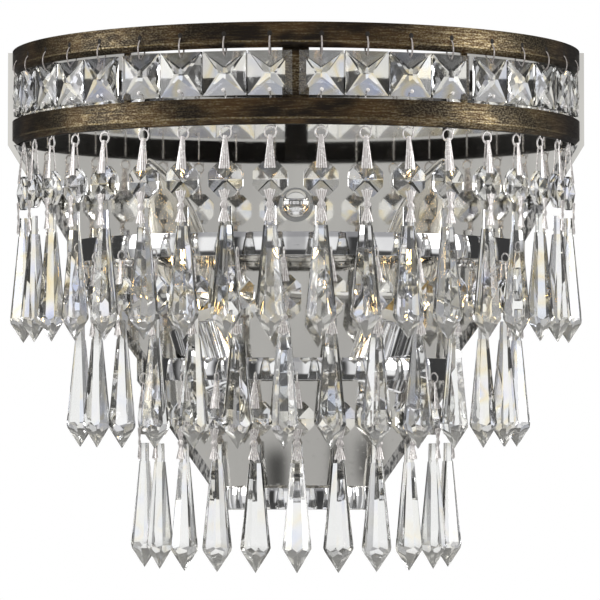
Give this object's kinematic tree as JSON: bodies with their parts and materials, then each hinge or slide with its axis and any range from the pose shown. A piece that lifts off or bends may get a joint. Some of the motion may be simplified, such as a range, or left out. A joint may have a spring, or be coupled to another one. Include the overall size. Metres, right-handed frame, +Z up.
{
  "type": "crystal wall sconce",
  "caption": "Half-drum wall light: tiers of hinged faceted pendants on bronze and chrome bands, a row of square crystals, a mirrored pan and candle bulbs.",
  "frame": {"origin": "middle of the two wall screws, on the wall plane", "axes": "+Z up, -Y out of the wall towards the room, +X to the right of someone facing the wall"},
  "size_m": [0.3032, 0.1529, 0.2705],
  "materials": {
    "mirror_chrome": "polished mirror",
    "plain_steel": "zinc plated",
    "bronze": "dark bronze with a gold rub",
    "chrome": "polished",
    "crystal": "clear cut crystal",
    "wire": "bright plated wire",
    "socket": "matt",
    "bulb_glass": "clear bulb glass"
  },
  "bodies": {
    "sconce_body": {"back_plate": "mirror_chrome", "wall_crossbar": "plain_steel", "centre_hardware": "plain_steel", "bronze_band_upper": "bronze", "bronze_band_lower": "bronze", "bronze_posts": "bronze", "chrome_band_1": "chrome", "chrome_band_2": "chrome", "chrome_band_3": "chrome", "side_straps": "chrome", "square_crystals": "crystal", "square_wires": "wire", "lamp_holders": "chrome", "sockets": "socket"},
    "finial": {"ball_finial": "chrome"},
    "lamp_left": {"bulb_left": "bulb_glass"},
    "lamp_right": {"bulb_right": "bulb_glass"},
    "pendant_top_01_body": {"pendant_top_01": "crystal"},
    "pendant_top_02_body": {"pendant_top_02": "crystal"},
    "pendant_top_03_body": {"pendant_top_03": "crystal"},
    "pendant_top_04_body": {"pendant_top_04": "crystal"},
    "pendant_top_05_body": {"pendant_top_05": "crystal"},
    "pendant_top_06_body": {"pendant_top_06": "crystal"},
    "pendant_top_07_body": {"pendant_top_07": "crystal"},
    "pendant_top_08_body": {"pendant_top_08": "crystal"},
    "pendant_top_09_body": {"pendant_top_09": "crystal"},
    "pendant_top_10_body": {"pendant_top_10": "crystal"},
    "pendant_top_11_body": {"pendant_top_11": "crystal"},
    "pendant_top_12_body": {"pendant_top_12": "crystal"},
    "pendant_top_13_body": {"pendant_top_13": "crystal"},
    "pendant_top_14_body": {"pendant_top_14": "crystal"},
    "pendant_top_15_body": {"pendant_top_15": "crystal"},
    "pendant_top_16_body": {"pendant_top_16": "crystal"},
    "pendant_top_17_body": {"pendant_top_17": "crystal"},
    "pendant_top_18_body": {"pendant_top_18": "crystal"},
    "pendant_middle_01_body": {"pendant_middle_01": "crystal"},
    "pendant_middle_02_body": {"pendant_middle_02": "crystal"},
    "pendant_middle_03_body": {"pendant_middle_03": "crystal"},
    "pendant_middle_04_body": {"pendant_middle_04": "crystal"},
    "pendant_middle_05_body": {"pendant_middle_05": "crystal"},
    "pendant_middle_06_body": {"pendant_middle_06": "crystal"},
    "pendant_middle_07_body": {"pendant_middle_07": "crystal"},
    "pendant_middle_08_body": {"pendant_middle_08": "crystal"},
    "pendant_middle_09_body": {"pendant_middle_09": "crystal"},
    "pendant_middle_10_body": {"pendant_middle_10": "crystal"},
    "pendant_middle_11_body": {"pendant_middle_11": "crystal"},
    "pendant_middle_12_body": {"pendant_middle_12": "crystal"},
    "pendant_middle_13_body": {"pendant_middle_13": "crystal"},
    "pendant_middle_14_body": {"pendant_middle_14": "crystal"},
    "pendant_bottom_01_body": {"pendant_bottom_01": "crystal"},
    "pendant_bottom_02_body": {"pendant_bottom_02": "crystal"},
    "pendant_bottom_03_body": {"pendant_bottom_03": "crystal"},
    "pendant_bottom_04_body": {"pendant_bottom_04": "crystal"},
    "pendant_bottom_05_body": {"pendant_bottom_05": "crystal"},
    "pendant_bottom_06_body": {"pendant_bottom_06": "crystal"},
    "pendant_bottom_07_body": {"pendant_bottom_07": "crystal"},
    "pendant_bottom_08_body": {"pendant_bottom_08": "crystal"},
    "pendant_bottom_09_body": {"pendant_bottom_09": "crystal"},
    "pendant_bottom_10_body": {"pendant_bottom_10": "crystal"},
    "pendant_bottom_11_body": {"pendant_bottom_11": "crystal"}
  },
  "joints": [
    {"name": "finial_turn", "type": "hinge", "parent": "sconce_body", "child": "finial", "pos_m": [0, -0.028, 0], "axis": [0, -1, 0], "continuous": true},
    {"name": "bulb_left_out", "type": "slide", "parent": "sconce_body", "child": "lamp_left", "axis": [-0.2924, 0, 0.9563], "range_m": [0, 0.035]},
    {"name": "bulb_right_out", "type": "slide", "parent": "sconce_body", "child": "lamp_right", "axis": [0.2924, 0, 0.9563], "range_m": [0, 0.035]},
    {"name": "pendant_top_01_swing", "type": "hinge", "parent": "sconce_body", "child": "pendant_top_01_body", "pos_m": [-0.1414, -0.03868, 0.02475], "axis": [0.2639, -0.9646, 0], "range_deg": [-20, 8]},
    {"name": "pendant_top_02_swing", "type": "hinge", "parent": "sconce_body", "child": "pendant_top_02_body", "pos_m": [-0.13403, -0.05939, 0.02475], "axis": [0.4051, -0.9143, 0], "range_deg": [-20, 8]},
    {"name": "pendant_top_03_swing", "type": "hinge", "parent": "sconce_body", "child": "pendant_top_03_body", "pos_m": [-0.12364, -0.07877, 0.02475], "axis": [0.5373, -0.8434, 0], "range_deg": [-20, 8]},
    {"name": "pendant_top_04_swing", "type": "hinge", "parent": "sconce_body", "child": "pendant_top_04_body", "pos_m": [-0.11047, -0.09637, 0.02475], "axis": [0.6574, -0.7536, 0], "range_deg": [-20, 8]},
    {"name": "pendant_top_05_swing", "type": "hinge", "parent": "sconce_body", "child": "pendant_top_05_body", "pos_m": [-0.09482, -0.11181, 0.02475], "axis": [0.7627, -0.6468, 0], "range_deg": [-20, 8]},
    {"name": "pendant_top_06_swing", "type": "hinge", "parent": "sconce_body", "child": "pendant_top_06_body", "pos_m": [-0.07463, -0.12618, 0.02475], "axis": [0.8607, -0.509, 0], "range_deg": [-20, 8]},
    {"name": "pendant_top_07_swing", "type": "hinge", "parent": "sconce_body", "child": "pendant_top_07_body", "pos_m": [-0.05492, -0.13593, 0.02475], "axis": [0.9272, -0.3746, 0], "range_deg": [-20, 8]},
    {"name": "pendant_top_08_swing", "type": "hinge", "parent": "sconce_body", "child": "pendant_top_08_body", "pos_m": [-0.03397, -0.14261, 0.02475], "axis": [0.9728, -0.2317, 0], "range_deg": [-20, 8]},
    {"name": "pendant_top_09_swing", "type": "hinge", "parent": "sconce_body", "child": "pendant_top_09_body", "pos_m": [-0.01227, -0.14609, 0.02475], "axis": [0.9965, -0.0837, 0], "range_deg": [-20, 8]},
    {"name": "pendant_top_10_swing", "type": "hinge", "parent": "sconce_body", "child": "pendant_top_10_body", "pos_m": [0.01227, -0.14609, 0.02475], "axis": [0.9965, 0.0837, 0], "range_deg": [-20, 8]},
    {"name": "pendant_top_11_swing", "type": "hinge", "parent": "sconce_body", "child": "pendant_top_11_body", "pos_m": [0.03397, -0.14261, 0.02475], "axis": [0.9728, 0.2317, 0], "range_deg": [-20, 8]},
    {"name": "pendant_top_12_swing", "type": "hinge", "parent": "sconce_body", "child": "pendant_top_12_body", "pos_m": [0.05492, -0.13593, 0.02475], "axis": [0.9272, 0.3746, 0], "range_deg": [-20, 8]},
    {"name": "pendant_top_13_swing", "type": "hinge", "parent": "sconce_body", "child": "pendant_top_13_body", "pos_m": [0.07463, -0.12618, 0.02475], "axis": [0.8607, 0.509, 0], "range_deg": [-20, 8]},
    {"name": "pendant_top_14_swing", "type": "hinge", "parent": "sconce_body", "child": "pendant_top_14_body", "pos_m": [0.09482, -0.11181, 0.02475], "axis": [0.7627, 0.6468, 0], "range_deg": [-20, 8]},
    {"name": "pendant_top_15_swing", "type": "hinge", "parent": "sconce_body", "child": "pendant_top_15_body", "pos_m": [0.11047, -0.09637, 0.02475], "axis": [0.6574, 0.7536, 0], "range_deg": [-20, 8]},
    {"name": "pendant_top_16_swing", "type": "hinge", "parent": "sconce_body", "child": "pendant_top_16_body", "pos_m": [0.12364, -0.07877, 0.02475], "axis": [0.5373, 0.8434, 0], "range_deg": [-20, 8]},
    {"name": "pendant_top_17_swing", "type": "hinge", "parent": "sconce_body", "child": "pendant_top_17_body", "pos_m": [0.13403, -0.05939, 0.02475], "axis": [0.4051, 0.9143, 0], "range_deg": [-20, 8]},
    {"name": "pendant_top_18_swing", "type": "hinge", "parent": "sconce_body", "child": "pendant_top_18_body", "pos_m": [0.1414, -0.03868, 0.02475], "axis": [0.2639, 0.9646, 0], "range_deg": [-20, 8]},
    {"name": "pendant_middle_01_swing", "type": "hinge", "parent": "sconce_body", "child": "pendant_middle_01_body", "pos_m": [-0.11168, -0.04065, -0.027], "axis": [0.342, -0.9397, 0], "range_deg": [-15, 8]},
    {"name": "pendant_middle_02_swing", "type": "hinge", "parent": "sconce_body", "child": "pendant_middle_02_body", "pos_m": [-0.10166, -0.06157, -0.027], "axis": [0.518, -0.8554, 0], "range_deg": [-15, 8]},
    {"name": "pendant_middle_03_swing", "type": "hinge", "parent": "sconce_body", "child": "pendant_middle_03_body", "pos_m": [-0.08777, -0.08014, -0.027], "axis": [0.6743, -0.7385, 0], "range_deg": [-15, 8]},
    {"name": "pendant_middle_04_swing", "type": "hinge", "parent": "sconce_body", "child": "pendant_middle_04_body", "pos_m": [-0.07053, -0.09566, -0.027], "axis": [0.8049, -0.5934, 0], "range_deg": [-15, 8]},
    {"name": "pendant_middle_05_swing", "type": "hinge", "parent": "sconce_body", "child": "pendant_middle_05_body", "pos_m": [-0.0506, -0.10754, -0.027], "axis": [0.9048, -0.4258, 0], "range_deg": [-15, 8]},
    {"name": "pendant_middle_06_swing", "type": "hinge", "parent": "sconce_body", "child": "pendant_middle_06_body", "pos_m": [-0.02875, -0.11532, -0.027], "axis": [0.9703, -0.2419, 0], "range_deg": [-15, 8]},
    {"name": "pendant_middle_07_swing", "type": "hinge", "parent": "sconce_body", "child": "pendant_middle_07_body", "pos_m": [-0.00581, -0.11871, -0.027], "axis": [0.9988, -0.0488, 0], "range_deg": [-15, 8]},
    {"name": "pendant_middle_08_swing", "type": "hinge", "parent": "sconce_body", "child": "pendant_middle_08_body", "pos_m": [0.01736, -0.11757, -0.027], "axis": [0.9893, 0.1461, 0], "range_deg": [-15, 8]},
    {"name": "pendant_middle_09_swing", "type": "hinge", "parent": "sconce_body", "child": "pendant_middle_09_body", "pos_m": [0.03987, -0.11196, -0.027], "axis": [0.9421, 0.3355, 0], "range_deg": [-15, 8]},
    {"name": "pendant_middle_10_swing", "type": "hinge", "parent": "sconce_body", "child": "pendant_middle_10_body", "pos_m": [0.06086, -0.10209, -0.027], "axis": [0.859, 0.512, 0], "range_deg": [-15, 8]},
    {"name": "pendant_middle_11_swing", "type": "hinge", "parent": "sconce_body", "child": "pendant_middle_11_body", "pos_m": [0.07953, -0.08832, -0.027], "axis": [0.7431, 0.6691, 0], "range_deg": [-15, 8]},
    {"name": "pendant_middle_12_swing", "type": "hinge", "parent": "sconce_body", "child": "pendant_middle_12_body", "pos_m": [0.09517, -0.07119, -0.027], "axis": [0.599, 0.8007, 0], "range_deg": [-15, 8]},
    {"name": "pendant_middle_13_swing", "type": "hinge", "parent": "sconce_body", "child": "pendant_middle_13_body", "pos_m": [0.10718, -0.05135, -0.027], "axis": [0.4321, 0.9018, 0], "range_deg": [-15, 8]},
    {"name": "pendant_middle_14_swing", "type": "hinge", "parent": "sconce_body", "child": "pendant_middle_14_body", "pos_m": [0.11512, -0.02956, -0.027], "axis": [0.2487, 0.9686, 0], "range_deg": [-15, 8]},
    {"name": "pendant_bottom_01_swing", "type": "hinge", "parent": "sconce_body", "child": "pendant_bottom_01_body", "pos_m": [-0.07906, -0.02478, -0.0885], "axis": [0.299, -0.9542, 0], "range_deg": [-15, 8]},
    {"name": "pendant_bottom_02_swing", "type": "hinge", "parent": "sconce_body", "child": "pendant_bottom_02_body", "pos_m": [-0.07026, -0.0439, -0.0885], "axis": [0.5299, -0.848, 0], "range_deg": [-15, 8]},
    {"name": "pendant_bottom_03_swing", "type": "hinge", "parent": "sconce_body", "child": "pendant_bottom_03_body", "pos_m": [-0.05693, -0.0602, -0.0885], "axis": [0.7266, -0.6871, 0], "range_deg": [-15, 8]},
    {"name": "pendant_bottom_04_swing", "type": "hinge", "parent": "sconce_body", "child": "pendant_bottom_04_body", "pos_m": [-0.03991, -0.0726, -0.0885], "axis": [0.8763, -0.4818, 0], "range_deg": [-15, 8]},
    {"name": "pendant_bottom_05_swing", "type": "hinge", "parent": "sconce_body", "child": "pendant_bottom_05_body", "pos_m": [-0.02032, -0.08032, -0.0885], "axis": [0.9694, -0.2453, 0], "range_deg": [-15, 8]},
    {"name": "pendant_bottom_06_swing", "type": "hinge", "parent": "sconce_body", "child": "pendant_bottom_06_body", "pos_m": [0.00058, -0.08285, -0.0885], "axis": [1, 0.007, 0], "range_deg": [-15, 8]},
    {"name": "pendant_bottom_07_swing", "type": "hinge", "parent": "sconce_body", "child": "pendant_bottom_07_body", "pos_m": [0.02144, -0.08003, -0.0885], "axis": [0.9659, 0.2588, 0], "range_deg": [-15, 8]},
    {"name": "pendant_bottom_08_swing", "type": "hinge", "parent": "sconce_body", "child": "pendant_bottom_08_body", "pos_m": [0.04092, -0.07204, -0.0885], "axis": [0.8695, 0.4939, 0], "range_deg": [-15, 8]},
    {"name": "pendant_bottom_09_swing", "type": "hinge", "parent": "sconce_body", "child": "pendant_bottom_09_body", "pos_m": [0.05776, -0.0594, -0.0885], "axis": [0.7169, 0.6972, 0], "range_deg": [-15, 8]},
    {"name": "pendant_bottom_10_swing", "type": "hinge", "parent": "sconce_body", "child": "pendant_bottom_10_body", "pos_m": [0.07087, -0.04292, -0.0885], "axis": [0.518, 0.8554, 0], "range_deg": [-15, 8]},
    {"name": "pendant_bottom_11_swing", "type": "hinge", "parent": "sconce_body", "child": "pendant_bottom_11_body", "pos_m": [0.0794, -0.02367, -0.0885], "axis": [0.2857, 0.9583, 0], "range_deg": [-15, 8]}
  ]
}
